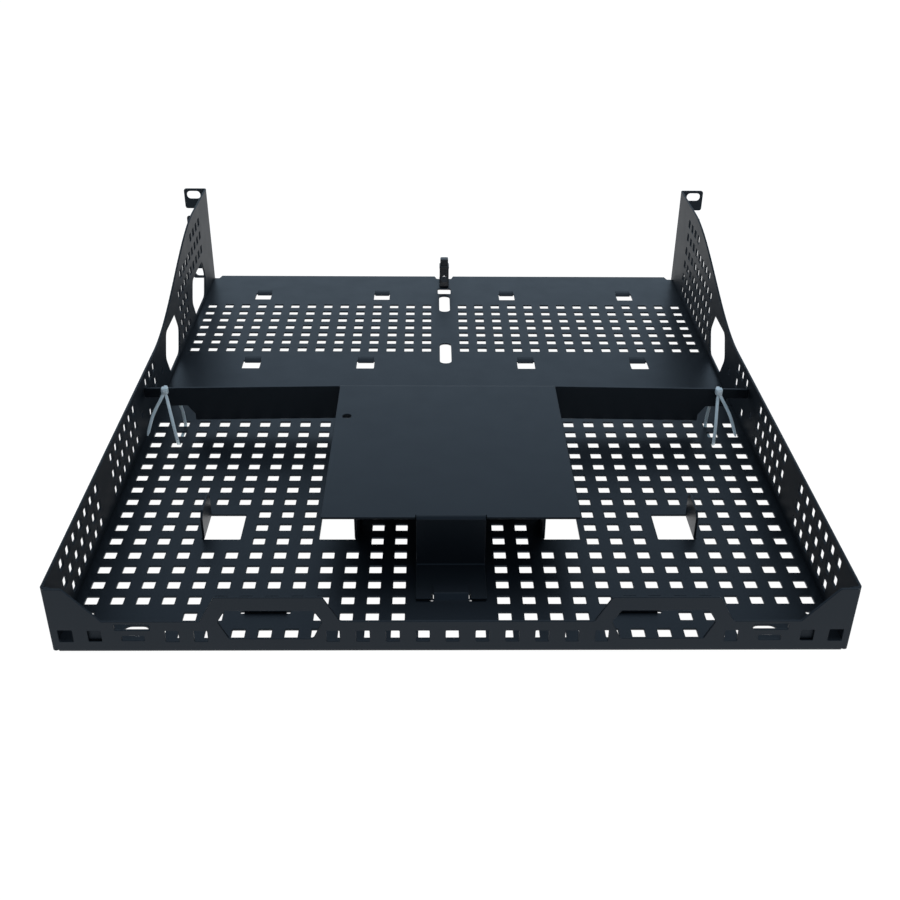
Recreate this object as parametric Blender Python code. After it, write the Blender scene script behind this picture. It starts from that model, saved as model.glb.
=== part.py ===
"""A two-unit rack tray of folded, perforated sheet steel, with a raised device platform.

X runs across the tray, Y from its low front lip towards the rack ears, Z up.
Lengths in this file are millimetres: y is measured from the outer face of the
front lip and z from the upper face of the floor.  The empty "tray_origin" moves
the whole tray so that the world origin lies under its middle, at its lowest point.
"""

import math

import bmesh
import bpy
from mathutils import Matrix, Vector

MM = 0.001
SHEET = 1.5
GAP = 0.3

# Overall sizes.
BODY_HALF = 222.0
EAR_HALF = 241.3
DEPTH = 545.0
LIP_TOP = 20.0
WALL_TOP = 42.0
EAR_TOP = 86.2
FLOOR_BOTTOM = -SHEET
PANEL_BOTTOM = -1.9
LOWEST = -2.7
DECK_SEAM = 284.5
FLOOR_HALF = BODY_HALF - SHEET - GAP

# Perforation of the floor and the rear deck.
PITCH = 15.0
HOLE = 7.5
FLOOR_ROWS = 17
FLOOR_COLUMNS = 13
FLOOR_FIRST_ROW = 14.5
FLOOR_FIRST_COLUMN = 30.9
DECK_ROWS = 7
DECK_COLUMNS = 14
DECK_FIRST_ROW = 382.8
DECK_FIRST_COLUMN = 16.0
STRAP_SLOTS = ((159.8, 353.3), (66.2, 353.3), (167.7, 494.2), (58.0, 494.2))
SLOT_HALF = 6.2
RAMP_LENGTH = 8.5

# Perforation of the side panels.
WALL_HOLE = 6.8
WALL_PITCH = 12.9
WALL_FIRST = 35.4
WALL_ROWS = (8.4, 20.8, 33.3)
REAR_FIRST = 390.5
REAR_ROWS = (8.4, 20.8, 33.3, 46.0, 59.0, 71.5)
REAR_COLUMNS = 9
CURVE_START = 292.0
CURVE_END = 480.0

# Square cut-outs with a tab bent up along one side.
CUTOUT_Y = (106.0, 134.1)
OUTER_CUTOUT_X = (133.0, 155.5)
INNER_CUTOUT_X = (60.5, 83.0)
TAB_HEIGHT = 19.0
TAB_CORNER = 4.0

# Lip pattern: it is centred a little to the right of the tray.
LIP_CENTRE = 8.0
LIP_PITCH = 16.5
HANDLE_OFFSET = 108.0
HANDLE_TOP = 36.5

# Device platform.
PLATE_TOP = 36.5
PLATE_HALF = 78.0
PLATE_FRONT = 77.0
BAR_BACK = 248.2
BAR_FRONT = BAR_BACK - SHEET
BAR_HALF = FLOOR_HALF
BAR_TOP = 36.0
BAR_DROOP = 2.2
DEEP_HALF = 185.0
DEEP_BOTTOM = 9.5
DEEP_SHOULDER = 14.5
SHALLOW_HALF = 203.0
SHALLOW_BOTTOM = 21.5
END_BOTTOM = 28.5
LEG_HALF = 21.0
FOOT_FRONT = 43.5

# Cable ties: each passes down through one floor hole and up through another.
TIE_FRONT_HOLE = FLOOR_FIRST_ROW + 14 * PITCH
TIE_BACK_HOLE = FLOOR_FIRST_ROW + 16 * PITCH
STRAP_WIDTH = 2.3
STRAP_THICK = 1.0

POWDER_COAT = (0.030, 0.038, 0.050)
BLACK_PLASTIC = (0.012, 0.013, 0.015)
NYLON = (0.80, 0.83, 0.84)

IN_XZ = Matrix(((1, 0, 0, 0), (0, 0, -1, 0), (0, 1, 0, 0), (0, 0, 0, 1)))
IN_YZ = Matrix(((0, 0, 1, 0), (1, 0, 0, 0), (0, 1, 0, 0), (0, 0, 0, 1)))


def clear_scene():
    for old in list(bpy.data.objects):
        bpy.data.objects.remove(old, do_unlink=True)


def new_collection(name):
    group = bpy.data.collections.new(name)
    bpy.context.scene.collection.children.link(group)
    return group


def new_material(name, colour, roughness, metallic):
    material = bpy.data.materials.new(name)
    material.use_nodes = True
    shader = material.node_tree.nodes["Principled BSDF"]
    shader.inputs["Base Color"].default_value = (*colour, 1.0)
    shader.inputs["Roughness"].default_value = roughness
    shader.inputs["Metallic"].default_value = metallic
    return material


def add_object(name, mesh):
    """Makes an object whose points are on whole micrometres, so that faces meant to meet do meet."""
    for vertex in mesh.vertices:
        vertex.co = [round(value, 6) for value in vertex.co]
    return bpy.data.objects.new(name, mesh)


# Outlines: lists of (u, v) points in millimetres.


def rectangle(u0, u1, v0, v1):
    return [(u0, v0), (u1, v0), (u1, v1), (u0, v1)]


def square(u, v, side):
    half = side / 2
    return rectangle(u - half, u + half, v - half, v + half)


def circle(u, v, diameter, count=12):
    turns = [2 * math.pi * i / count for i in range(count)]
    return [(u + diameter / 2 * math.cos(a), v + diameter / 2 * math.sin(a)) for a in turns]


def oblong(u, v, length, width, count=6):
    """A slot with round ends, its length along u."""
    reach = (length - width) / 2
    points = []
    for side, start in ((1, -math.pi / 2), (-1, math.pi / 2)):
        for i in range(count + 1):
            angle = start + math.pi * i / count
            points.append((u + side * reach + width / 2 * math.cos(angle), v + width / 2 * math.sin(angle)))
    return points


def turned(points):
    """The same outline with u and v exchanged."""
    return [(v, u) for u, v in points]


def hexagon(u, v, half_length, half_flat, half_height):
    return [
        (u - half_length, v),
        (u - half_flat, v - half_height),
        (u + half_flat, v - half_height),
        (u + half_length, v),
        (u + half_flat, v + half_height),
        (u - half_flat, v + half_height),
    ]


def mirrored(points):
    return [(-u, v) for u, v in points]


def sheet(name, outline, holes, middle, plane=None):
    """A flat plate with openings: a filled 2D curve, extruded and made a mesh.

    middle is the place of its mid-plane along the axis that the plane leaves out.
    """
    curve = bpy.data.curves.new(name, "CURVE")
    curve.dimensions = "2D"
    curve.fill_mode = "BOTH"
    curve.extrude = SHEET / 2 * MM
    for points in [outline, *holes]:
        spline = curve.splines.new("POLY")
        spline.points.add(len(points) - 1)
        for point, (u, v) in zip(spline.points, points):
            point.co = (u * MM, v * MM, 0, 1)
        spline.use_cyclic_u = True
    flat = bpy.data.objects.new(name, curve)
    bpy.context.scene.collection.objects.link(flat)
    evaluated = flat.evaluated_get(bpy.context.evaluated_depsgraph_get())
    mesh = bpy.data.meshes.new_from_object(evaluated)
    bpy.data.objects.remove(flat, do_unlink=True)
    bpy.data.curves.remove(curve)
    shape = bmesh.new()
    shape.from_mesh(mesh)
    bmesh.ops.remove_doubles(shape, verts=shape.verts, dist=1e-6)
    bmesh.ops.beautify_fill(shape, faces=shape.faces, edges=shape.edges, method="ANGLE")
    bmesh.ops.recalc_face_normals(shape, faces=shape.faces)
    shape.to_mesh(mesh)
    shape.free()
    plane = Matrix.Identity(4) if plane is None else plane
    mesh.transform(plane @ Matrix.Translation((0, 0, middle * MM)))
    return add_object(name, mesh)


def box(name, x0, x1, y0, y1, z0, z1):
    mesh = bpy.data.meshes.new(name)
    shape = bmesh.new()
    size = Matrix.Diagonal(((x1 - x0) * MM, (y1 - y0) * MM, (z1 - z0) * MM, 1))
    centre = Matrix.Translation(((x0 + x1) / 2 * MM, (y0 + y1) / 2 * MM, (z0 + z1) / 2 * MM))
    bmesh.ops.create_cube(shape, size=1.0, matrix=centre @ size)
    shape.to_mesh(mesh)
    shape.free()
    return add_object(name, mesh)


def cylinder(name, diameter, length, centre, axis, sides=16):
    mesh = bpy.data.meshes.new(name)
    shape = bmesh.new()
    turn = Vector((0, 0, 1)).rotation_difference(Vector(axis)).to_matrix().to_4x4()
    place = Matrix.Translation(Vector(centre) * MM) @ turn
    radius = diameter / 2 * MM
    bmesh.ops.create_cone(
        shape, cap_ends=True, segments=sides, radius1=radius, radius2=radius, depth=length * MM, matrix=place
    )
    shape.to_mesh(mesh)
    shape.free()
    return add_object(name, mesh)


def prism(name, profile, x0, x1):
    """A solid with this (y, z) profile between two planes of constant x."""
    mesh = bpy.data.meshes.new(name)
    shape = bmesh.new()
    ring = [shape.verts.new((x0 * MM, y * MM, z * MM)) for y, z in profile]
    face = shape.faces.new(ring)
    pushed = bmesh.ops.extrude_face_region(shape, geom=[face])
    moved = [item for item in pushed["geom"] if isinstance(item, bmesh.types.BMVert)]
    bmesh.ops.translate(shape, verts=moved, vec=((x1 - x0) * MM, 0, 0))
    bmesh.ops.recalc_face_normals(shape, faces=shape.faces)
    shape.to_mesh(mesh)
    shape.free()
    return add_object(name, mesh)


class Tray:
    """The collections, the materials and the origin that every part shares."""

    def __init__(self):
        self.parts = new_collection("rack_tray")
        self.helpers = new_collection("helpers")
        self.coat = new_material("powder_coat", POWDER_COAT, 0.42, 0.15)
        self.plastic = new_material("black_plastic", BLACK_PLASTIC, 0.45, 0.0)
        self.nylon = new_material("natural_nylon", NYLON, 0.40, 0.0)
        self.origin = bpy.data.objects.new("tray_origin", None)
        self.origin.location = (0, -DEPTH / 2 * MM, -LOWEST * MM)
        self.parts.objects.link(self.origin)

    def place(self, obj, material):
        self.parts.objects.link(obj)
        obj.parent = self.origin
        obj.data.materials.clear()
        obj.data.materials.append(material)

    def combine(self, obj, pieces, operation="UNION"):
        """Joins the pieces to the object, or cuts them from it, with Booleans."""
        for piece in pieces:
            self.helpers.objects.link(piece)
            piece.parent = self.origin
            piece.hide_render = True
            piece.display_type = "WIRE"
            step = obj.modifiers.new(piece.name, "BOOLEAN")
            step.operation = operation
            step.object = piece
            step.solver = "EXACT"


# The front tray: floor, lip, handles and bent tabs.


def in_cutout(x, y):
    margin = HOLE / 2
    inside_y = CUTOUT_Y[0] - margin < y < CUTOUT_Y[1] + margin
    spans = (OUTER_CUTOUT_X, INNER_CUTOUT_X)
    return inside_y and any(low - margin < x < high + margin for low, high in spans)


def floor_holes():
    holes = []
    for row in range(FLOOR_ROWS):
        y = FLOOR_FIRST_ROW + row * PITCH
        for column in range(FLOOR_COLUMNS):
            x = FLOOR_FIRST_COLUMN + column * PITCH
            at_corner = (row == 0 and x > 170) or (row == 1 and x > 160)
            at_lance = row == 1 and 85 < x < 125
            if in_cutout(x, y) or at_corner or at_lance:
                continue
            holes += [square(x, y, HOLE), square(-x, y, HOLE)]
    for x in (-15.4, 0.0, 15.4):
        holes.append(square(x, FLOOR_FIRST_ROW, HOLE))
    return holes


def front_tray(tray):
    holes = floor_holes()
    for side in (-1, 1):
        for low, high in (OUTER_CUTOUT_X, INNER_CUTOUT_X):
            u0, u1 = sorted((side * low, side * high))
            holes.append(rectangle(u0, u1, *CUTOUT_Y))
        holes.append(rectangle(side * 107.8 - 14.4, side * 107.8 + 14.4, 32.0, 34.4))
        holes.append(oblong(side * 179.1, 17.1, 14.2, 9.2, count=3))
        holes.append(circle(side * 208.0, 32.4, 3.0))
        holes.append(square(side * 11.3, 44.4, 1.8))
    outline = rectangle(-FLOOR_HALF, FLOOR_HALF, 0.6, DECK_SEAM)
    floor = sheet("front_tray", outline, holes, -SHEET / 2)
    tray.place(floor, tray.coat)
    tray.combine(floor, [front_lip(), *bent_tabs(), *lances()])
    return floor


def lip_outline():
    gusset = [(FLOOR_HALF, WALL_TOP), (210.0, WALL_TOP), (191.8, LIP_TOP)]
    points = [(-FLOOR_HALF, FLOOR_BOTTOM), (FLOOR_HALF, FLOOR_BOTTOM), *gusset]
    for centre in (LIP_CENTRE + HANDLE_OFFSET, LIP_CENTRE - HANDLE_OFFSET):
        for offset, z in ((38.2, LIP_TOP), (29.2, HANDLE_TOP), (-29.2, HANDLE_TOP), (-38.2, LIP_TOP)):
            points.append((centre + offset, z))
    points += [(-u, v) for u, v in reversed(gusset)]
    return points


def front_lip():
    holes = []
    for centre in (LIP_CENTRE - HANDLE_OFFSET, LIP_CENTRE + HANDLE_OFFSET):
        opening = hexagon(centre, 19.5, 28.6, 24.0, 8.0)
        opening[1] = (centre - 23.2, 8.0)
        opening[2] = (centre + 23.2, 8.0)
        holes.append(opening)
    for step in range(-4, 6):
        holes.append(square(step * LIP_PITCH, 9.8, 8.0))
    for side in (-1, 1):
        holes.append(square(side * 212.5, 10.1, 8.0))
        holes.append(square(side * 196.6, 10.1, 7.4))
        holes.append(square(side * 154.3, 9.8, 8.0))
        holes.append(rectangle(side * 175.5 - 9.8, side * 175.5 + 9.8, 14.0, 18.2))
        holes.append(rectangle(side * 175.8 - 6.4, side * 175.8 + 6.4, 6.8, 10.2))
    holes.append(square(-138.5, 9.8, 8.0))
    return sheet("front_lip", lip_outline(), holes, -SHEET / 2, IN_XZ)


def bent_tabs():
    tabs = []
    y0, y1 = CUTOUT_Y
    outline = [
        (y0, -1.0),
        (y1, -1.0),
        (y1, TAB_HEIGHT - TAB_CORNER),
        (y1 - TAB_CORNER, TAB_HEIGHT),
        (y0 + TAB_CORNER, TAB_HEIGHT),
        (y0, TAB_HEIGHT - TAB_CORNER),
    ]
    for side in (-1, 1):
        for x in (OUTER_CUTOUT_X[1] + SHEET / 2, INNER_CUTOUT_X[0] - SHEET / 2):
            tabs.append(sheet("bent_tab", outline, [], side * x, IN_YZ))
    return tabs


def lances():
    """Raised from the floor: two low ramps behind the handles, and a hook over the foot."""
    ramp = [(32.2, -0.8), (41.2, -0.8), (41.2, -0.1), (32.2, 1.9)]
    hook = [(43.6, -0.8), (45.3, -0.8), (47.3, 2.2), (56.0, 2.2), (56.0, 3.5), (46.4, 3.5)]
    pieces = [prism("lance_ramp", ramp, x - 12.4, x + 12.4) for x in (-107.8, 107.8)]
    pieces.append(prism("foot_hook", hook, -10.4, 10.4))
    return pieces


# The rear deck.


def rear_deck(tray):
    """Beyond each strap slot the deck slopes down a little, so that a strap can pass."""
    holes = []
    for row in range(DECK_ROWS):
        y = DECK_FIRST_ROW + row * PITCH
        for column in range(DECK_COLUMNS):
            x = DECK_FIRST_COLUMN + column * PITCH
            holes += [square(x, y, HOLE), square(-x, y, HOLE)]
    ramps = []
    hollows = []
    for x, y in STRAP_SLOTS:
        for middle in (x, -x):
            holes.append(rectangle(middle - 7.2, middle + 7.2, y - SLOT_HALF, y + SLOT_HALF))
            near, far = y + SLOT_HALF, y + SLOT_HALF + RAMP_LENGTH
            below = [(near, LOWEST), (far, FLOOR_BOTTOM), (far, FLOOR_BOTTOM + 0.5), (near, FLOOR_BOTTOM + 0.5)]
            above = [(near - 1.0, LOWEST + SHEET), (far, 0.0), (far, SHEET), (near - 1.0, SHEET)]
            ramps.append(prism("strap_ramp", below, middle - 6.4, middle + 6.4))
            hollows.append(prism("strap_hollow", above, middle - 5.6, middle + 5.6))
    holes.append(rectangle(-6.0, 6.0, 502.0, 514.8))
    holes.append(turned(oblong(479.6, 0.0, 36.5, 9.6)))
    holes.append(turned(oblong(376.0, 0.0, 38.4, 9.6)))
    back = DEPTH
    step = back - 6.2
    outline = [(-FLOOR_HALF, DECK_SEAM + GAP), (FLOOR_HALF, DECK_SEAM + GAP), (FLOOR_HALF, step)]
    outline += [(215.5, step), (213.8, back), (8.6, back), (7.0, step)]
    outline += [(-7.0, step), (-8.6, back), (-213.8, back), (-215.5, step), (-FLOOR_HALF, step)]
    deck = sheet("rear_deck", outline, holes, -SHEET / 2)
    tray.place(deck, tray.coat)
    tray.combine(deck, ramps)
    tray.combine(deck, hollows, "DIFFERENCE")
    return deck


# The side panels with their rack ears.


def wall_height(y):
    """The panel's upper edge: level, then one smooth S-shaped rise to the ear."""
    share = min(max((y - CURVE_START) / (CURVE_END - CURVE_START), 0.0), 1.0)
    return WALL_TOP + (EAR_TOP - WALL_TOP) * share * share * (3 - 2 * share)


def panel_outline():
    front = SHEET + GAP
    back = DEPTH - 0.4
    points = [(front, 0.0), (front + 4.0, PANEL_BOTTOM), (back, PANEL_BOTTOM), (back, EAR_TOP)]
    count = 20
    for i in range(count + 1):
        y = CURVE_END + (CURVE_START - CURVE_END) * i / count
        points.append((y, wall_height(y)))
    points.append((front, WALL_TOP))
    return points


def panel_holes(is_left):
    holes = []
    for index in [*range(7), *range(9, 15)]:
        for z in WALL_ROWS:
            if index == 0 and z == WALL_ROWS[0]:
                continue
            holes.append(square(WALL_FIRST + index * WALL_PITCH, z, WALL_HOLE))
    for index in range(3):
        holes.append(square(256.9 + index * 12.7, 33.8, WALL_HOLE))
    holes.append(square(283.1, 21.2, WALL_HOLE))
    holes.append(square(258.9, 7.9, WALL_HOLE))
    holes += [circle(236.1, 18.6, 4.6), circle(305.8, 18.9, 4.6), circle(270.8, 22.3, 3.4)]
    holes.append(hexagon(350.5, 21.0, 28.0, 20.0, 17.0))
    for index in range(REAR_COLUMNS):
        y = REAR_FIRST + index * WALL_PITCH
        for z in REAR_ROWS:
            at_window = is_left and z < 40 and y > 425
            if at_window or z + 10 > wall_height(y - WALL_HOLE / 2):
                continue
            holes.append(square(y, z, WALL_HOLE))
    if is_left:
        holes.append(hexagon(468.5, 19.0, 32.0, 24.0, 16.5))
    return holes


def ear(side):
    """The rack flange: an upper lug and a longer lower one, each with an oblong slot."""
    inner = BODY_HALF - 1.0
    outline = [(inner, PANEL_BOTTOM), (EAR_HALF, PANEL_BOTTOM), (EAR_HALF, 60.0), (inner + 3.0, 60.0)]
    outline += [(inner + 3.0, 67.5), (EAR_HALF, 67.5), (EAR_HALF, EAR_TOP), (inner, EAR_TOP)]
    holes = [oblong(232.6, 4.1, 12.4, 7.4), oblong(232.6, 80.3, 12.4, 7.4)]
    if side < 0:
        outline = mirrored(outline)
        holes = [mirrored(points) for points in holes]
    return sheet("ear", outline, holes, -(DEPTH - SHEET / 2), IN_XZ)


def return_tab(side):
    """The panel's front end, folded inward behind the lip; it closes one of the lip's holes."""
    outer = BODY_HALF - 0.5
    outline = [(188.0, 0.6), (outer, 0.6), (outer, WALL_TOP - 0.4), (215.5, WALL_TOP - 0.4)]
    outline += [(215.5, 18.5), (188.0, 18.5)]
    hole = square(213.0, 9.6, 8.8)
    if side < 0:
        outline = mirrored(outline)
        hole = mirrored(hole)
    return sheet("return_tab", outline, [hole], -(SHEET + GAP + SHEET / 2), IN_XZ)


def side_panel(tray, name, side):
    middle = side * (BODY_HALF - SHEET / 2)
    panel = sheet(name, panel_outline(), panel_holes(side < 0), middle, IN_YZ)
    tray.place(panel, tray.coat)
    tray.combine(panel, [ear(side), return_tab(side)])
    return panel


# The device platform: one folded sheet with a plate, a cross bar at its back and a leg.


def device_platform(tray):
    """The bar is a strip on edge, folded down from the plate and wider than it."""
    plate_outline = rectangle(-PLATE_HALF, PLATE_HALF, PLATE_FRONT, BAR_BACK)
    plate = sheet("device_platform", plate_outline, [circle(-70.3, 201.3, 6.0)], PLATE_TOP - SHEET / 2)
    half = [(BAR_HALF, BAR_TOP), (BAR_HALF, END_BOTTOM), (SHALLOW_HALF + 2, END_BOTTOM)]
    half += [(SHALLOW_HALF, SHALLOW_BOTTOM), (DEEP_HALF + 5, SHALLOW_BOTTOM)]
    half += [(DEEP_HALF, DEEP_SHOULDER), (DEEP_HALF, DEEP_BOTTOM)]
    foot = [(-LEG_HALF, FOOT_FRONT), (-11.6, FOOT_FRONT), (-11.6, 48.4), (11.6, 48.4)]
    foot += [(11.6, FOOT_FRONT), (LEG_HALF, FOOT_FRONT)]
    foot += [(LEG_HALF, PLATE_FRONT + 0.5), (-LEG_HALF, PLATE_FRONT + 0.5)]
    leg_top = PLATE_TOP - 0.5
    pieces = [
        sheet("cross_bar", [*half, *mirrored(half)[::-1]], [], -(BAR_BACK - SHEET / 2), IN_XZ),
        box("leg", -LEG_HALF, LEG_HALF, PLATE_FRONT, PLATE_FRONT + SHEET, GAP, leg_top),
        sheet("foot", foot, [], GAP + SHEET / 2),
    ]
    tray.place(plate, tray.coat)
    tray.combine(plate, pieces)
    let_ends_droop(plate)
    return plate


def let_ends_droop(obj):
    """Bakes the joined shape, then lowers the bar's ends a little, as the ties pull them."""
    bpy.context.view_layer.update()
    evaluated = obj.evaluated_get(bpy.context.evaluated_depsgraph_get())
    mesh = bpy.data.meshes.new_from_object(evaluated)
    obj.modifiers.clear()
    shape = bmesh.new()
    shape.from_mesh(mesh)
    for x in (-PLATE_HALF, PLATE_HALF):
        everything = [*shape.verts, *shape.edges, *shape.faces]
        bmesh.ops.bisect_plane(shape, geom=everything, dist=1e-6, plane_co=(x * MM, 0, 0), plane_no=(1, 0, 0))
    for vertex in shape.verts:
        beyond = max(abs(vertex.co.x) / MM - PLATE_HALF, 0.0)
        vertex.co.z -= BAR_DROOP * MM * beyond / (BAR_HALF - PLATE_HALF)
    shape.to_mesh(mesh)
    shape.free()
    obj.data = mesh


# The plastic clip at the middle of the rear edge.


def retaining_clip(tray):
    front = 518.0
    foot = box("retaining_clip", -4.4, 4.4, front, 537.0, GAP, 3.4)
    body = box("clip_body", -4.4, 4.4, front, front + 9.0, GAP + 0.2, 19.6)
    collar = box("clip_collar", -4.5, 4.5, front - 0.4, front + 9.4, 18.2, 21.0)
    top = box("clip_top", -3.7, 3.7, front + 0.8, front + 8.2, 20.0, 27.3)
    eye = cylinder("clip_eye", 2.8, 24.0, (0, front + 4.5, 8.2), (0, 1, -0.40), 12)
    tray.place(foot, tray.plastic)
    tray.combine(foot, [body, collar, top])
    tray.combine(foot, [eye], "DIFFERENCE")
    return foot


# The cable ties.


def strap_path(points, per_piece=4):
    """Extra points between hand-placed ones, on a smooth Catmull-Rom curve."""
    path = []
    places = [Vector(p) for p in points]
    for i in range(len(places) - 1):
        before = places[max(i - 1, 0)]
        start, end = places[i], places[i + 1]
        after = places[min(i + 2, len(places) - 1)]
        for k in range(per_piece):
            t = k / per_piece
            blend = start * 2 + (end - before) * t
            blend += (before * 2 - start * 5 + end * 4 - after) * t * t
            blend += (start * 3 - before - end * 3 + after) * t ** 3
            path.append(blend / 2)
    path.append(places[-1])
    return path


def strap(name, points, across):
    """A flat strap lofted along the path, its width along the vector across."""
    path = strap_path(points)
    shape = bmesh.new()
    rings = []
    for i, place in enumerate(path):
        along = (path[min(i + 1, len(path) - 1)] - path[max(i - 1, 0)]).normalized()
        side = (across - along * across.dot(along)).normalized()
        normal = along.cross(side)
        corners = []
        for u, v in ((-1, -1), (1, -1), (1, 1), (-1, 1)):
            corner = place + side * (u * STRAP_WIDTH / 2) + normal * (v * STRAP_THICK / 2)
            corners.append(shape.verts.new(corner * MM))
        rings.append(corners)
    for first, second in zip(rings, rings[1:]):
        for k in range(4):
            n = (k + 1) % 4
            shape.faces.new((first[k], first[n], second[n], second[k]))
    shape.faces.new(rings[0][::-1])
    shape.faces.new(rings[-1])
    bmesh.ops.recalc_face_normals(shape, faces=shape.faces)
    mesh = bpy.data.meshes.new(name)
    shape.to_mesh(mesh)
    shape.free()
    return add_object(name, mesh)


def cable_tie(tray, name, side, head, foot):
    """Head in front of the bar, a loop round the bar and the floor, and a free tail.

    head and foot are the distances of the head and of the floor's two holes from the middle.
    """
    head_x = side * head
    foot_x = side * foot
    lean = head_x - foot_x
    head_y = BAR_FRONT - 2.3
    front, back = TIE_FRONT_HOLE, TIE_BACK_HOLE
    under = FLOOR_BOTTOM - 0.15 - STRAP_THICK / 2
    block = box(name, head_x - 2.4, head_x + 2.4, head_y - 2.0, head_y + 2.0, 31.0, 35.9)
    loop = [
        (head_x, head_y, 32.5),
        (foot_x + lean * 0.85, head_y - 2.0, 27.0),
        (foot_x + lean * 0.33, front + 6.6, 13.0),
        (foot_x + lean * 0.04, front + 2.0, 1.5),
        (foot_x, front + 3.0, under + 0.3),
        (foot_x, front + 7.0, under),
        (foot_x, back - 7.0, under),
        (foot_x, back - 2.6, under + 0.3),
        (foot_x, back - 0.4, 1.2),
        (foot_x + lean * 0.10, back - 1.8, 14.0),
        (foot_x + lean * 0.45, BAR_BACK + 1.8, 25.0),
        (head_x, BAR_BACK + 1.0, 31.5),
        (head_x, BAR_BACK + 0.9, 33.6),
        (head_x, BAR_BACK + 0.1, 34.95),
        (head_x, BAR_FRONT - 0.1, 35.0),
        (head_x, head_y + 1.0, 34.5),
    ]
    tail = [
        (head_x + side * 0.6, head_y - 0.3, 32.0),
        (head_x + side * 2.4, head_y - 1.6, 28.5),
        (head_x + side * 9.1, head_y - 6.5, 16.5),
        (head_x + side * 13.4, head_y - 13.5, 3.0),
    ]
    across = Vector((1, 0, 0))
    tray.place(block, tray.nylon)
    tray.combine(block, [strap("tie_loop", loop, across), strap("tie_tail", tail, across)])
    return block


def main():
    clear_scene()
    tray = Tray()
    front_tray(tray)
    rear_deck(tray)
    side_panel(tray, "side_panel_left", -1)
    side_panel(tray, "side_panel_right", 1)
    device_platform(tray)
    retaining_clip(tray)
    cable_tie(tray, "cable_tie_left", -1, 204.6, 195.1)
    cable_tie(tray, "cable_tie_right", 1, 197.5, 193.8)


main()
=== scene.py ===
"""The looks of a perforated, powder-coated rack tray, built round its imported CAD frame.

Every sheet is drawn as the flat pattern that a punch would cut, with rounded
hole corners and softened edges, and then folded along its bend lines.  Lengths
are millimetres: x across the tray, y from the outer face of the front lip
towards the rack ears, z from the upper face of the floor.  TO_FRAME turns them
into the frame's metres.
"""

import math

import bmesh
import bpy
from mathutils import Euler, Matrix, Vector


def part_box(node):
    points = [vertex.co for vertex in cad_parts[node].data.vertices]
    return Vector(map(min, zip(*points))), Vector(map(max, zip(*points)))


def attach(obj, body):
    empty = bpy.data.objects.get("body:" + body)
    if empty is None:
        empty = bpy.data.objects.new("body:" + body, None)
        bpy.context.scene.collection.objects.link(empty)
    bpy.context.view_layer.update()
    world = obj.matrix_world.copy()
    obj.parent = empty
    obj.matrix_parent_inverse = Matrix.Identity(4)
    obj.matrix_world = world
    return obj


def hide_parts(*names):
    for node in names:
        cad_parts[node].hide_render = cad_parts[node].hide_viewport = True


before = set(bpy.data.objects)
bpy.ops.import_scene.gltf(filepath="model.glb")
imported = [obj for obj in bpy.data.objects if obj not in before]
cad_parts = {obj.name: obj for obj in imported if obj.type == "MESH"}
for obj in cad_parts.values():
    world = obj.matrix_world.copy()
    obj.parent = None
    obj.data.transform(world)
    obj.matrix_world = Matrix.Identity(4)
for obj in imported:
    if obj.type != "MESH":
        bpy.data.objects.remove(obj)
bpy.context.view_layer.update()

MM = 0.001

# EDGE softens the sheets' rims.  GAP parts pieces that only lie close, CLOSE
# those that look joined.  BEND is a bend's radius at mid-sheet.
SHEET = 1.5
EDGE = 0.2
GAP = 0.3
CLOSE = 0.05
BEND = 1.35
BEND_ARC = BEND * math.pi / 2
BEND_STEPS = 7

BODY_HALF = 222.0
EAR_HALF = 241.3
DEPTH = 545.0
LIP_TOP = 20.0
WALL_TOP = 42.0
EAR_TOP = 86.2
PANEL_BOTTOM = -1.9
DECK_SEAM = 284.5
FLOOR_HALF = BODY_HALF - SHEET - CLOSE

PITCH = 15.0
HOLE = 7.5
HOLE_RADIUS = 0.5
LIP_HOLE_HEIGHT = 9.8
CENTRE_HOLE_X = 15.4
FLOOR_ROWS = 17
FLOOR_COLUMNS = 13
FLOOR_FIRST_ROW = 14.5
FLOOR_FIRST_COLUMN = 30.9
DECK_ROWS = 7
DECK_COLUMNS = 14
DECK_FIRST_ROW = 382.8
DECK_FIRST_COLUMN = 16.0
STRAP_SLOTS = ((159.8, 353.3), (66.2, 353.3), (167.7, 494.2), (58.0, 494.2))
SLOT_HALF = 6.2
REAR_STEP = 6.2
RAMP_END = 14.7
RAMP_RADIUS = 20.0
RAMP_ANGLE = 0.35

WALL_HOLE = 6.8
WINDOW_RADIUS = 7.0
RETURN_INNER = 188.0
RETURN_TOP = 18.5
EAR_NOTCH_X = 224.6
EAR_NOTCH_Z = (60.0, 67.5)
EAR_SLOT_X = 232.6
EAR_SLOT_Z = (4.1, 80.3)
WALL_PITCH = 12.9
WALL_FIRST = 35.4
WALL_ROWS = (8.4, 20.8, 33.3)
REAR_FIRST = 390.5
REAR_ROWS = (8.4, 20.8, 33.3, 46.0, 59.0, 71.5)
REAR_COLUMNS = 9
CURVE_START = 292.0
CURVE_END = 480.0

CUTOUT_Y = (106.0, 134.1)
OUTER_CUTOUT_X = (133.0, 155.5)
INNER_CUTOUT_X = (60.5, 83.0)
TAB_HEIGHT = 19.0
TAB_CORNER = 4.0
LANCE_X = 107.8
LANCE_HALF = 12.4
LANCE_FRONT = 32.2
HOOK_HALF = 10.4
HOOK_FRONT = 44.3

LIP_CENTRE = 8.0
LIP_PITCH = 16.5
HANDLE_OFFSET = 108.0
HANDLE_TOP = 36.5
HANDLE_SHOULDER = 29.2
HANDLE_ROOT = 38.2

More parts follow.
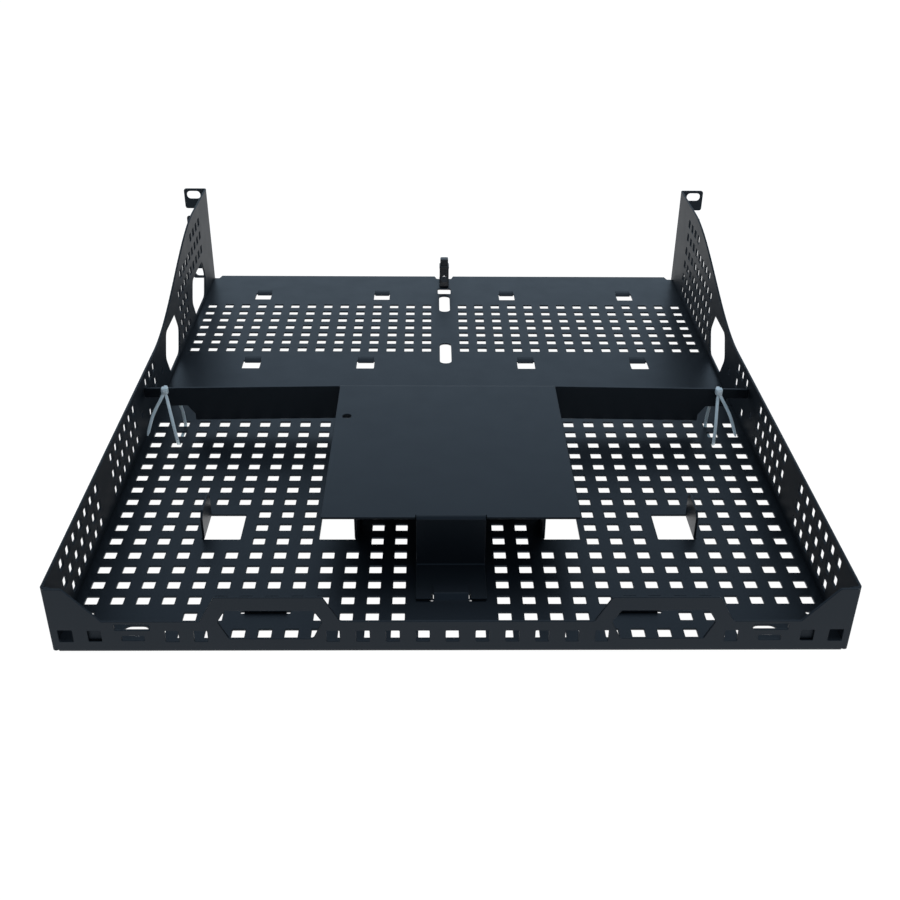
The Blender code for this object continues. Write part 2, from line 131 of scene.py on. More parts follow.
PLATE_TOP = 36.5
PLATE_HALF = 78.0
PLATE_FRONT = 77.0
BAR_BACK = 248.2
BAR_FRONT = BAR_BACK - SHEET
BAR_HALF = BODY_HALF - SHEET - GAP
BAR_TOP = 36.0
BAR_DROOP = 2.2
DEEP_HALF = 185.0
DEEP_BOTTOM = 9.5
DEEP_SHOULDER = 14.5
SHALLOW_HALF = 203.0
SHALLOW_BOTTOM = 21.5
END_BOTTOM = 28.5
LEG_HALF = 21.0
FOOT_FRONT = 43.5
NOTCH_HALF = 11.6
SLIT = 0.4

TIE_FRONT_HOLE = FLOOR_FIRST_ROW + 14 * PITCH
TIE_BACK_HOLE = FLOOR_FIRST_ROW + 16 * PITCH
STRAP_WIDTH = 2.3
STRAP_THICK = 1.0
STRAP_STEP = 0.45
TOOTH_DEPTH = 0.22
TOOTH_MARGIN = 0.55
UNDER_STRAP = -SHEET - 0.15 - STRAP_THICK / 2

LIP_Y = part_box("front_tray")[0].y
FLOOR_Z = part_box("rear_deck")[1].z
TO_FRAME = Matrix.Translation((0, LIP_Y, FLOOR_Z)) @ Matrix.Scale(MM, 4)


# Materials.


class Nodes:
    """A short way to build a material's node tree."""

    def __init__(self, name):
        self.material = bpy.data.materials.new(name)
        self.material.use_nodes = True
        self.tree = self.material.node_tree
        self.shader = self.tree.nodes["Principled BSDF"]
        self.coordinates = self.tree.nodes.new("ShaderNodeTexCoord").outputs["Object"]

    def link(self, output, target):
        self.tree.links.new(output, target)

    def noise(self, scale, detail=3.0, roughness=0.5):
        node = self.tree.nodes.new("ShaderNodeTexNoise")
        node.inputs["Scale"].default_value = scale
        node.inputs["Detail"].default_value = detail
        node.inputs["Roughness"].default_value = roughness
        self.link(self.coordinates, node.inputs["Vector"])
        return node.outputs["Fac"]

    def pebbles(self, scale):
        node = self.tree.nodes.new("ShaderNodeTexVoronoi")
        node.feature = "SMOOTH_F1"
        node.inputs["Scale"].default_value = scale
        node.inputs["Smoothness"].default_value = 0.9
        self.link(self.coordinates, node.inputs["Vector"])
        return node.outputs["Distance"]

    def ramp(self, factor, stops):
        """A colour ramp between two stops, each a (position, colour)."""
        node = self.tree.nodes.new("ShaderNodeValToRGB")
        for element, (position, colour) in zip(node.color_ramp.elements, stops):
            element.position = position
            element.color = (*colour, 1)
        self.link(factor, node.inputs["Fac"])
        return node.outputs["Color"]

    def spread(self, factor, low, high):
        node = self.tree.nodes.new("ShaderNodeMapRange")
        node.inputs["To Min"].default_value = low
        node.inputs["To Max"].default_value = high
        self.link(factor, node.inputs["Value"])
        return node.outputs["Result"]

    def bump(self, height, distance, strength, before=None):
        node = self.tree.nodes.new("ShaderNodeBump")
        node.inputs["Distance"].default_value = distance
        node.inputs["Strength"].default_value = strength
        self.link(height, node.inputs["Height"])
        if before is not None:
            self.link(before, node.inputs["Normal"])
        return node.outputs["Normal"]


def powder_coat(name, low, high, rough):
    """Satin powder coat: fine orange peel over a pebbled grain, with faint cloudy patches.

    low and high are the base colour's two shades.
    """
    nodes = Nodes(name)
    clouds = nodes.noise(9.0, 4.0)
    nodes.link(nodes.ramp(clouds, ((0.3, low), (0.7, high))), nodes.shader.inputs["Base Color"])
    uneven = nodes.spread(nodes.noise(60.0, 5.0), rough - 0.05, rough + 0.05)
    nodes.link(uneven, nodes.shader.inputs["Roughness"])
    grain = nodes.bump(nodes.pebbles(1500.0), 0.00002, 0.35)
    peel = nodes.bump(nodes.noise(420.0, 2.0), 0.00005, 0.22, grain)
    nodes.link(peel, nodes.shader.inputs["Normal"])
    nodes.shader.inputs["Specular IOR Level"].default_value = 0.30
    nodes.shader.inputs["Specular Tint"].default_value = (0.66, 0.82, 1.0, 1)
    return nodes.material


def moulded_plastic():
    nodes = Nodes("black_moulded_plastic")
    dark, light = (0.010, 0.011, 0.013), (0.018, 0.020, 0.023)
    colour = nodes.ramp(nodes.noise(120.0, 3.0), ((0.3, dark), (0.7, light)))
    nodes.link(colour, nodes.shader.inputs["Base Color"])
    nodes.link(nodes.spread(nodes.noise(300.0, 3.0), 0.36, 0.50), nodes.shader.inputs["Roughness"])
    nodes.link(nodes.bump(nodes.noise(2600.0, 2.0), 0.00003, 0.4), nodes.shader.inputs["Normal"])
    return nodes.material


def natural_nylon():
    nodes = Nodes("natural_nylon")
    dark, light = (0.50, 0.57, 0.59), (0.62, 0.68, 0.70)
    colour = nodes.ramp(nodes.noise(160.0, 3.0), ((0.3, dark), (0.7, light)))
    nodes.link(colour, nodes.shader.inputs["Base Color"])
    nodes.link(nodes.spread(nodes.noise(500.0, 2.0), 0.28, 0.40), nodes.shader.inputs["Roughness"])
    nodes.link(nodes.bump(nodes.noise(1800.0, 2.0), 0.00002, 0.3), nodes.shader.inputs["Normal"])
    nodes.shader.inputs["Subsurface Weight"].default_value = 0.35
    nodes.shader.inputs["Subsurface Radius"].default_value = (0.9, 1.0, 1.0)
    nodes.shader.inputs["Subsurface Scale"].default_value = 0.0015
    return nodes.material


COAT = powder_coat("powder_coat", (0.0022, 0.0031, 0.0046), (0.0029, 0.0040, 0.0058), 0.40)
# The panels' coat has a base a touch darker than COAT's, painted shade to dull the walls; its higher
# roughness softens their grazing reflections.
SHADED_PANEL_COAT = powder_coat("powder_coat_panels_painted_shade", (0.0022, 0.0030, 0.0044), (0.0028, 0.0038, 0.0055), 0.54)
# The platform's coat is a lighter copy of COAT: painted light standing in for the bright sheen on the
# plate's top.
LIT_PLATE_COAT = powder_coat("powder_coat_platform", (0.0036, 0.0046, 0.0060), (0.0044, 0.0056, 0.0074), 0.40)
PLASTIC = moulded_plastic()
NYLON = natural_nylon()


# Outlines: lists of (u, v) points.


def rectangle(u0, u1, v0, v1):
    return [(u0, v0), (u1, v0), (u1, v1), (u0, v1)]


def rounded(points, radius, steps=3):
    """The same outline with its corners rounded, or less so where an edge is short."""
    result = []
    count = len(points)
    for i in range(count):
        corner = Vector(points[i])
        back = Vector(points[i - 1]) - corner
        ahead = Vector(points[(i + 1) % count]) - corner
        half = back.angle(ahead) / 2
        if half > math.radians(86):
            result.append(points[i])
            continue
        reach = min(radius / math.tan(half), back.length * 0.45, ahead.length * 0.45)
        arc = reach * math.tan(half)
        centre = corner + (back.normalized() + ahead.normalized()).normalized() * arc / math.sin(half)
        first = corner + back.normalized() * reach - centre
        last = corner + ahead.normalized() * reach - centre
        for k in range(steps + 1):
            result.append(tuple(centre + first.slerp(last, k / steps) * arc))
    return result


def square(u, v, side=HOLE, radius=HOLE_RADIUS):
    half = side / 2
    return rounded(rectangle(u - half, u + half, v - half, v + half), radius)


def slot(u, v, width, height, radius=0.8):
    return rounded(rectangle(u - width / 2, u + width / 2, v - height / 2, v + height / 2), radius, 5)


def circle(u, v, diameter, count=20):
    turns = [2 * math.pi * i / count for i in range(count)]
    return [(u + diameter / 2 * math.cos(a), v + diameter / 2 * math.sin(a)) for a in turns]


def hexagon(u, v, half_length, half_flat, half_height, radius):
    points = [
        (u - half_length, v),
        (u - half_flat, v - half_height),
        (u + half_flat, v - half_height),
        (u + half_length, v),
        (u + half_flat, v + half_height),
        (u - half_flat, v + half_height),
    ]
    return rounded(points, radius, 5)


def mirrored(points):
    return [(-u, v) for u, v in points]


def signed_area(points):
    pairs = zip(points, points[1:] + points[:1])
    return sum(a[0] * b[1] - b[0] * a[1] for a, b in pairs) / 2


# Sheets.


def flat_pattern(name, outline, holes, thickness=SHEET):
    """A punched blank in the XY plane, its mid-plane at z = 0, with softened edges."""
    curve = bpy.data.curves.new(name, "CURVE")
    curve.dimensions = "2D"
    curve.fill_mode = "BOTH"
    curve.extrude = thickness / 2 - EDGE
    curve.bevel_depth = EDGE
    curve.bevel_resolution = 0
    curve.offset = -EDGE
    for i, points in enumerate([outline, *holes]):
        turns_left = signed_area(points) > 0
        if turns_left == (i > 0):
            points = points[::-1]
        spline = curve.splines.new("POLY")
        spline.points.add(len(points) - 1)
        for point, (u, v) in zip(spline.points, points):
            point.co = (u, v, 0, 1)
        spline.use_cyclic_u = True
    blank = bpy.data.objects.new(name, curve)
    bpy.context.scene.collection.objects.link(blank)
    mesh = bpy.data.meshes.new_from_object(blank.evaluated_get(bpy.context.evaluated_depsgraph_get()))
    bpy.data.objects.remove(blank, do_unlink=True)
    bpy.data.curves.remove(curve)
    shape = bmesh.new()
    shape.from_mesh(mesh)
    bpy.data.meshes.remove(mesh)
    bmesh.ops.remove_doubles(shape, verts=shape.verts, dist=0.002)
    bmesh.ops.beautify_fill(shape, faces=shape.faces, edges=shape.edges, method="ANGLE")
    bmesh.ops.recalc_face_normals(shape, faces=shape.faces)
    return shape


def cut(shape, axis, place, where=None):
    """Adds an edge line across the sheet at this u (axis 0) or v (axis 1)."""
    normal = (1, 0, 0) if axis == 0 else (0, 1, 0)
    point = (place, 0, 0) if axis == 0 else (0, place, 0)
    faces = shape.faces
    if where is not None:
        faces = [face for face in shape.faces if any(where(v.co) for v in face.verts)]
    edges = {edge for face in faces for edge in face.edges}
    corners = {vertex for face in faces for vertex in face.verts}
    bmesh.ops.bisect_plane(
        shape, geom=[*corners, *edges, *faces], dist=0.0005, plane_co=point, plane_no=normal
    )


def fold(shape, axis, line, toward, up, where=None, angle=math.pi / 2, radius=BEND):
    """Folds what lies beyond a line along u or v.

    toward is the side of the line that turns (-1 or 1), and up says to which
    side of the sheet it turns (1 or -1).  where picks the vertices that take part.
    """
    arc = radius * angle
    for k in range(BEND_STEPS + 1):
        cut(shape, axis, line + toward * arc * k / BEND_STEPS, where)
    for vertex in shape.verts:
        if where is not None and not where(vertex.co):
            continue
        along = (vertex.co[axis] - line) * toward
        if along <= 0:
            continue
        turn = min(along, arc) / radius
        rest = max(along - arc, 0.0)
        lever = radius - up * vertex.co.z
        vertex.co[axis] = line + toward * (lever * math.sin(turn) + rest * math.cos(turn))
        vertex.co.z = up * (radius - lever * math.cos(turn) + rest * math.sin(turn))


def finish_mesh(shape, name, matrix, material, node=None, smooth=40):
    """Turns the bmesh into a piece of the object, in the frame's metres."""
    mesh = bpy.data.meshes.new(name)
    shape.to_mesh(mesh)
    shape.free()
    mesh.transform(TO_FRAME @ matrix)
    if matrix.determinant() < 0:
        mesh.flip_normals()
    mesh.materials.append(material)
    mesh.shade_smooth()
    mesh.set_sharp_from_angle(angle=math.radians(smooth))
    piece = bpy.data.objects.new(name, mesh)
    bpy.context.scene.collection.objects.link(piece)
    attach(piece, "root")
    if node is not None:
        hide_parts(node)
    return piece


def weigh_normals(piece):
    """Keeps broad faces flat up to their softened edges."""
    modifier = piece.modifiers.new("weighted_normals", "WEIGHTED_NORMAL")
    modifier.weight = 100
    modifier.keep_sharp = True


def add_island(shape, other, matrix):
    """Adds another bmesh to this one, moved by the matrix."""
    mesh = bpy.data.meshes.new("island")
    other.to_mesh(mesh)
    other.free()
    mesh.transform(matrix)
    shape.from_mesh(mesh)
    bpy.data.meshes.remove(mesh)


def tilted(x, y, z, slope):
    """Places a small flat pattern at a point, turned about X by this slope in radians."""
    return Matrix.Translation((x, y, z)) @ Matrix.Rotation(slope, 4, "X")


# The front tray.


def in_cutout(x, y):
    margin = HOLE / 2
    inside_y = CUTOUT_Y[0] - margin < y < CUTOUT_Y[1] + margin
    spans = (OUTER_CUTOUT_X, INNER_CUTOUT_X)
    return inside_y and any(low - margin < x < high + margin for low, high in spans)


def floor_holes():
    """A regular grid that leaves out the cut-outs, the corners and the lances."""
    holes = []
    for row in range(FLOOR_ROWS):
        y = FLOOR_FIRST_ROW + row * PITCH
        for column in range(FLOOR_COLUMNS):
            x = FLOOR_FIRST_COLUMN + column * PITCH
            at_corner = (row == 0 and x > 170) or (row == 1 and x > 160)
            at_lance = row == 1 and 85 < x < 125
            if in_cutout(x, y) or at_corner or at_lance:
                continue
            holes += [square(x, y), square(-x, y)]
    for x in (-CENTRE_HOLE_X, 0.0, CENTRE_HOLE_X):
        holes.append(square(x, FLOOR_FIRST_ROW))
    return holes


def lip_v(z):
    """Where a height on the lip lies in the flat pattern, beyond the bend."""
    return SHEET / 2 + BEND - BEND_ARC - (z - (BEND - SHEET / 2))


def lip_holes():
    """Handle openings, a row of squares, and at each end more squares and two thin slots."""
    holes = []
    for centre in (LIP_CENTRE - HANDLE_OFFSET, LIP_CENTRE + HANDLE_OFFSET):
        opening = [(-28.6, 19.5), (-24.0, 27.5), (24.0, 27.5), (28.6, 19.5), (23.2, 8.0), (-23.2, 8.0)]
        holes.append(rounded([(centre + u, lip_v(z)) for u, z in opening], 1.6, 5))
    for step in range(-4, 6):
        holes.append(square(step * LIP_PITCH, lip_v(LIP_HOLE_HEIGHT)))
    for side in (-1, 1):
        holes.append(square(side * 212.5, lip_v(10.1), 8.0))
        holes.append(square(side * 196.6, lip_v(10.1), 7.4))
        holes.append(square(side * 154.3, lip_v(LIP_HOLE_HEIGHT)))
        holes.append(slot(side * 175.5, lip_v(16.1), 19.6, 4.2, 0.7))
        holes.append(slot(side * 175.8, lip_v(8.5), 12.8, 3.4, 0.7))
    holes.append(square(-138.5, lip_v(LIP_HOLE_HEIGHT)))
    return holes


def front_outline():
    """The floor, then the lip with its handles and the raised gusset at each corner."""
    corner = [(FLOOR_HALF, 6.0), (217.6, 4.4), (217.6, lip_v(0.8)), (FLOOR_HALF, lip_v(3.4))]
    points = [(FLOOR_HALF, DECK_SEAM), (-FLOOR_HALF, DECK_SEAM)]
    points += [(-u, v) for u, v in corner]
    gusset = [(FLOOR_HALF, lip_v(WALL_TOP)), (210.0, lip_v(WALL_TOP)), (191.8, lip_v(LIP_TOP))]
    points += [(-u, v) for u, v in gusset]
    for centre in (LIP_CENTRE - HANDLE_OFFSET, LIP_CENTRE + HANDLE_OFFSET):
        right = [(HANDLE_SHOULDER, lip_v(HANDLE_TOP)), (HANDLE_ROOT, lip_v(LIP_TOP))]
        points += [(centre + u, v) for u, v in [*mirrored(right)[::-1], *right]]
    points += gusset[::-1]
    points += corner[::-1]
    return rounded(points, 1.8, 4)


def tab_slit(side, fold_edge, far_edge):
    """The slit round a tab before it is bent up: a U that leaves the tab on its fold line."""
    into = 1 if far_edge > fold_edge else -1
    root = fold_edge - into * (SHEET + BEND - SHEET / 2)
    length = TAB_HEIGHT - (BEND - SHEET / 2) + BEND_ARC
    tip = root + into * length
    y0, y1 = CUTOUT_Y
    clear = 0.7
    points = [
        (root, y0),
        (far_edge, y0),
        (far_edge, y1),
        (root, y1),
        (root, y1 - clear),
        (tip - into * TAB_CORNER, y1 - clear),
        (tip, y1 - clear - TAB_CORNER),
        (tip, y0 + clear + TAB_CORNER),
        (tip - into * TAB_CORNER, y0 + clear),
        (root, y0 + clear),
    ]
    return [(side * u, v) for u, v in points], side * root, side * into


def front_tray():
    """Floor and lip from one blank, with four tabs bent up and small lances added."""
    holes = floor_holes() + lip_holes()
    tabs = []
    for side in (-1, 1):
        for fold_edge, far_edge in ((OUTER_CUTOUT_X[1], OUTER_CUTOUT_X[0]), INNER_CUTOUT_X):
            slit, root, toward = tab_slit(side, fold_edge, far_edge)
            holes.append(rounded(slit, 0.6, 2))
            tabs.append((root, toward))
        for end in (-13.3, 13.3):
            holes.append(square(side * LANCE_X + end, 33.2, 2.2, 0.5))
        holes.append(slot(side * 179.1, 17.1, 14.2, 9.2, 4.5))
        holes.append(circle(side * 208.0, 32.4, 3.0))
        holes.append(square(side * 11.3, 44.4, 1.9, 0.5))
    holes.append(slot(0.0, 50.5, 21.4, 10.4, 0.4))
    shape = flat_pattern("front_tray", front_outline(), holes)
    y0, y1 = CUTOUT_Y
    for root, toward in tabs:
        inner, outer = sorted((root - toward * 0.2, root + toward * 22.0))

        def on_tab(co, inner=inner, outer=outer):
            return inner <= co.x <= outer and y0 + 0.5 < co.y < y1 - 0.5

        fold(shape, 0, root, toward, 1, on_tab)
    fold(shape, 1, SHEET / 2 + BEND, -1, 1)
    for side in (-1, 1):
        add_lance(shape, side * LANCE_X)
    add_hook(shape)
    base = Matrix.Translation((0, 0, -SHEET / 2))
    weigh_normals(finish_mesh(shape, "folded_front_tray", base, COAT, "front_tray"))


def add_lance(shape, x):
    """A low flap, hinged at its back: its front edge stands just clear of the floor."""
    rise, run = 2.0, 9.0
    slope = math.atan2(rise, run)
    outline = rectangle(-LANCE_HALF, LANCE_HALF, 0.0, math.hypot(rise, run))
    strip = flat_pattern("lance", rounded(outline, 0.4, 3), [])
    add_island(shape, strip, tilted(x, LANCE_FRONT, rise + CLOSE, -slope))


def add_hook(shape):
    """A hook raised from the floor: a sloping riser, then a flat tongue over the foot."""
    rise, run = 2.85, 2.6
    riser = math.hypot(rise, run)
    tongue = 9.2
    outline = rectangle(-HOOK_HALF, HOOK_HALF, 0.0, riser + tongue)
    strip = flat_pattern("hook", rounded(outline, 0.5, 3), [], 1.3)
    angle = math.atan2(rise, run)
    fold(strip, 1, riser, 1, -1, None, angle, 1.0)
    add_island(shape, strip, tilted(0.0, HOOK_FRONT, CLOSE, angle))


# The rear deck.


def rear_deck():
    """The flat rear sheet, with a ramp bent down behind each strap slot."""
    holes = []
    for row in range(DECK_ROWS):
        y = DECK_FIRST_ROW + row * PITCH
        for column in range(DECK_COLUMNS):
            x = DECK_FIRST_COLUMN + column * PITCH
            holes += [square(x, y), square(-x, y)]
    for x, y in STRAP_SLOTS:
        near, step, far = y - SLOT_HALF, y + 7.8, y + RAMP_END
        for middle in (x, -x):
            points = [(-7.2, near), (7.2, near), (7.2, step), (6.5, step)]
            points += [(6.5, far), (-6.5, far), (-6.5, step), (-7.2, step)]
            holes.append(rounded([(middle + u, v) for u, v in points], 0.6, 3))
    holes.append(slot(0.0, 508.4, 12.0, 12.8, 1.6))
    holes.append(slot(0.0, 479.6, 9.6, 36.5, 4.7))
    holes.append(slot(0.0, 376.0, 9.6, 38.4, 4.7))
    step = DEPTH - REAR_STEP
    front = DECK_SEAM + CLOSE
    outline = [(-FLOOR_HALF, front), (FLOOR_HALF, front), (FLOOR_HALF, step)]
    outline += [(215.5, step), (213.8, DEPTH), (8.6, DEPTH), (7.0, step)]
    outline += [(-7.0, step), (-8.6, DEPTH), (-213.8, DEPTH), (-215.5, step), (-FLOOR_HALF, step)]
    shape = flat_pattern("rear_deck", rounded(outline, 1.0, 3), holes)
    length = RAMP_RADIUS * RAMP_ANGLE
    for x, y in STRAP_SLOTS:
        for middle in (x, -x):
            ramp = flat_pattern("ramp", rounded(rectangle(-6.48, 6.48, -length, 0.0), 0.2, 2), [])
            fold(ramp, 1, -0.05, -1, -1, None, RAMP_ANGLE, RAMP_RADIUS)
            add_island(shape, ramp, Matrix.Translation((middle, y + RAMP_END + 0.1, 0.0)))
    base = Matrix.Translation((0, 0, -SHEET / 2))
    weigh_normals(finish_mesh(shape, "perforated_rear_deck", base, COAT, "rear_deck"))


# The side panels.


def wall_height(y):
    """The panel's upper edge: level, then one smooth S-shaped rise to the ear."""
    share = min(max((y - CURVE_START) / (CURVE_END - CURVE_START), 0.0), 1.0)
    return WALL_TOP + (EAR_TOP - WALL_TOP) * share * share * (3 - 2 * share)


PANEL_MIDDLE = BODY_HALF - SHEET / 2
TAB_LINE = SHEET + GAP + SHEET / 2 + BEND
EAR_LINE = DEPTH - SHEET / 2 - BEND


def tab_u(x):
    """Where a place on the return tab lies in the panel's flat pattern."""
    return TAB_LINE - BEND_ARC - (PANEL_MIDDLE - BEND - x)


def ear_u(x):
    """The same for a place on the rack ear."""
    return EAR_LINE + BEND_ARC + (x - PANEL_MIDDLE - BEND)


def panel_outline():
    """Along the bottom, up the notched ear, back along the swept edge, down the return tab."""
    ear, notch = ear_u(EAR_HALF), ear_u(EAR_NOTCH_X)
    low, high = EAR_NOTCH_Z
    points = [(TAB_LINE - 0.5, PANEL_BOTTOM), (ear_u(223.4), PANEL_BOTTOM), (ear, PANEL_BOTTOM)]
    points += [(ear, low), (notch, low), (notch, high), (ear, high), (ear, EAR_TOP)]
    count = 44
    for i in range(count + 1):
        y = CURVE_END + (CURVE_START - CURVE_END) * i / count
        points.append((y, wall_height(y)))
    top = WALL_TOP - 0.4
    points += [(tab_u(215.5), top), (tab_u(215.5), RETURN_TOP)]
    points += [(tab_u(RETURN_INNER), RETURN_TOP), (tab_u(RETURN_INNER), 0.6)]
    points += [(tab_u(217.2), 0.6), (tab_u(218.6), -1.7)]
    return rounded(points, 2.2, 4)


def panel_holes(is_left):
    """Regular grids before and behind the bar, loose holes between them, windows and slots."""
    holes = []
    for index in [*range(7), *range(9, 15)]:
        for z in WALL_ROWS:
            if index == 0 and z == WALL_ROWS[0]:
                continue
            holes.append(square(WALL_FIRST + index * WALL_PITCH, z, WALL_HOLE))
    for index in range(3):
        holes.append(square(256.9 + index * 12.7, 33.8, WALL_HOLE))
    holes.append(square(283.1, 21.2, WALL_HOLE))
    holes.append(square(258.9, 7.9, WALL_HOLE))
    holes += [circle(236.1, 18.6, 4.6), circle(305.8, 18.9, 4.6), circle(270.8, 22.3, 3.4)]
    holes.append(hexagon(350.5, 21.1, 28.5, 18.5, 17.6, WINDOW_RADIUS))
    for index in range(REAR_COLUMNS):
        y = REAR_FIRST + index * WALL_PITCH
        for z in REAR_ROWS:
            at_window = is_left and z < 40 and y > 425
            if at_window or z + 10 > wall_height(y - WALL_HOLE / 2):
                continue
            holes.append(square(y, z, WALL_HOLE))
    if is_left:
        holes.append(hexagon(468.5, 19.0, 32.5, 22.5, 17.0, WINDOW_RADIUS))
    holes.append(square(tab_u(213.0), 9.6, 8.8))
    for z in EAR_SLOT_Z:
        holes.append(slot(ear_u(EAR_SLOT_X), z, 12.4, 7.4, 3.6))
    return holes


def side_panel(name, node, side):
    shape = flat_pattern(name, panel_outline(), panel_holes(side < 0))
    fold(shape, 0, EAR_LINE, 1, 1)
    fold(shape, 0, TAB_LINE, -1, -1)
    stand = Matrix(((0, 0, side, side * PANEL_MIDDLE), (1, 0, 0, 0), (0, 1, 0, 0), (0, 0, 0, 1)))
    weigh_normals(finish_mesh(shape, name, stand, SHADED_PANEL_COAT, node))


# The device platform.


BACK_LINE = BAR_BACK - SHEET / 2 - BEND


def bar_v(z):
    """Where a height on the cross bar lies in the flat pattern."""
    return BACK_LINE + BEND_ARC + PLATE_TOP - SHEET / 2 - BEND - z


def device_platform():
    """Plate, cross bar, leg and foot, all from one blank.

    Beside the plate the bar's wings turn down as one flat strip, so their upper
    edge is bare sheet; only the part behind the plate goes round the bend.
    """
    leg_line = PLATE_FRONT + SHEET / 2 + BEND
    leg_length = PLATE_TOP - SHEET / 2 - BEND - (GAP + SHEET / 2 + BEND)
    foot_line = leg_line - BEND_ARC - leg_length
    foot_length = PLATE_FRONT + SHEET / 2 - BEND - FOOT_FRONT
    foot_end = foot_line - BEND_ARC - foot_length
    notch = foot_end + 4.9
    slit_end = BACK_LINE + BEND_ARC + 0.8
    right = [
        (NOTCH_HALF, notch),
        (NOTCH_HALF, foot_end),
        (LEG_HALF, foot_end),
        (LEG_HALF, leg_line + 0.6),
        (LEG_HALF + SLIT, leg_line + 0.6),
        (LEG_HALF + SLIT, PLATE_FRONT),
        (PLATE_HALF, PLATE_FRONT),
        (PLATE_HALF, slit_end),
        (PLATE_HALF + SLIT, slit_end),
        (PLATE_HALF + SLIT, bar_v(BAR_TOP)),
        (BAR_HALF, bar_v(BAR_TOP)),
        (BAR_HALF, bar_v(END_BOTTOM)),
        (SHALLOW_HALF + 2.0, bar_v(END_BOTTOM)),
        (SHALLOW_HALF, bar_v(SHALLOW_BOTTOM)),
        (DEEP_HALF + 5.0, bar_v(SHALLOW_BOTTOM)),
        (DEEP_HALF, bar_v(DEEP_SHOULDER)),
        (DEEP_HALF, bar_v(DEEP_BOTTOM)),
    ]
    outline = rounded([*right, *mirrored(right)[::-1]], 0.9, 3)
    shape = flat_pattern("platform", outline, [circle(-70.3, 201.3, 6.4, 28)])

    def on_foot(co):
        return co.y < foot_line + 0.01

    def on_leg(co):
        return abs(co.x) < LEG_HALF + SLIT / 2 and co.y < leg_line + 0.01

    def on_bend(co):
        return abs(co.x) < PLATE_HALF + SLIT / 4 and co.y > BACK_LINE - 0.01

    def on_wing(co):
        return abs(co.x) > PLATE_HALF + SLIT / 4 and co.y > BACK_LINE - 0.01

    fold(shape, 1, foot_line, -1, 1, on_foot)
    fold(shape, 1, leg_line, -1, -1, on_leg)
    for side in (-1, 1):
        cut(shape, 0, side * (PLATE_HALF + SLIT / 2))
    wings = [vertex for vertex in shape.verts if on_wing(vertex.co)]
    fold(shape, 1, BACK_LINE, 1, -1, on_bend)
    for vertex in wings:
        below_bend = vertex.co.y - BACK_LINE - BEND_ARC
        vertex.co.y = BACK_LINE + BEND + vertex.co.z
        vertex.co.z = -BEND - below_bend
    for vertex in shape.verts:
        beyond = max(abs(vertex.co.x) - PLATE_HALF, 0.0)
        vertex.co.z -= BAR_DROOP * beyond / (BAR_HALF - PLATE_HALF)
    base = Matrix.Translation((0, 0, PLATE_TOP - SHEET / 2))
    # The platform wears the lighter copy of the coat: painted light for the plate's bright top.
    weigh_normals(finish_mesh(shape, "folded_platform", base, LIT_PLATE_COAT, "device_platform"))


# The retaining clip.


def soft_box(x0, x1, y0, y1, z0, z1, radius=0.5, segments=2):
    """A box with rounded edges."""
    shape = bmesh.new()
    centre = Matrix.Translation(((x0 + x1) / 2, (y0 + y1) / 2, (z0 + z1) / 2))
    bmesh.ops.create_cube(shape, size=1.0, matrix=centre @ Matrix.Diagonal((x1 - x0, y1 - y0, z1 - z0, 1)))
    bmesh.ops.bevel(
        shape, geom=shape.edges[:], offset=radius, segments=segments, affect="EDGES", profile=0.5
    )
    return shape


def turned(centre, axis, profile, sides=32):
    """A closed turned solid: profile is (radius, distance along the axis)."""
    shape = bmesh.new()
    turn = Vector((0, 0, 1)).rotation_difference(Vector(axis)).to_matrix().to_4x4()
    place = Matrix.Translation(centre) @ turn
    rings = []
    for radius, height in profile:
        ring = []
        for k in range(sides):
            angle = 2 * math.pi * k / sides
            point = Vector((radius * math.cos(angle), radius * math.sin(angle), height))
            ring.append(shape.verts.new(place @ point))
        rings.append(ring)
    for low, high in zip(rings, rings[1:]):
        for k in range(sides):
            n = (k + 1) % sides
            shape.faces.new((low[k], low[n], high[n], high[k]))
    shape.faces.new(rings[0][::-1])
    shape.faces.new(rings[-1])
    bmesh.ops.recalc_face_normals(shape, faces=shape.faces)
    return shape


def retaining_clip():
    """Foot, body, two collars, a narrower top and a rib behind, joined and bored."""
    front = 518.0
    middle = front + 4.5
    shape = soft_box(-4.4, 4.4, front, 536.8, GAP + CLOSE, 3.4, 0.6)
    parts = [
        soft_box(-4.3, 4.3, front + 0.1, front + 8.9, 2.6, 19.0, 0.9, 3),
        soft_box(-3.7, 3.7, front - 0.3, front + 9.3, 12.2, 13.6, 0.4),
        soft_box(-4.5, 4.5, front - 0.4, front + 9.4, 18.2, 21.0, 0.8, 3),
        soft_box(-3.7, 3.7, front + 0.8, front + 8.2, 20.0, 27.3, 1.1, 4),
        soft_box(-0.6, 0.6, front + 8.0, front + 16.0, 2.6, 12.0, 0.4),
    ]
    for part in parts:
        add_island(shape, part, Matrix.Identity(4))
    boss = turned((0, front + 0.3, 8.2), (0, -1, 0.40), ((3.6, 0.0), (3.6, 0.55), (3.2, 0.75)))
    add_island(shape, boss, Matrix.Identity(4))
    piece = finish_mesh(shape, "moulded_retaining_clip", Matrix.Identity(4), PLASTIC, "retaining_clip")
    cut_eye(piece, (0, middle, 8.2), (0, 1, -0.40))
    weigh_normals(piece)


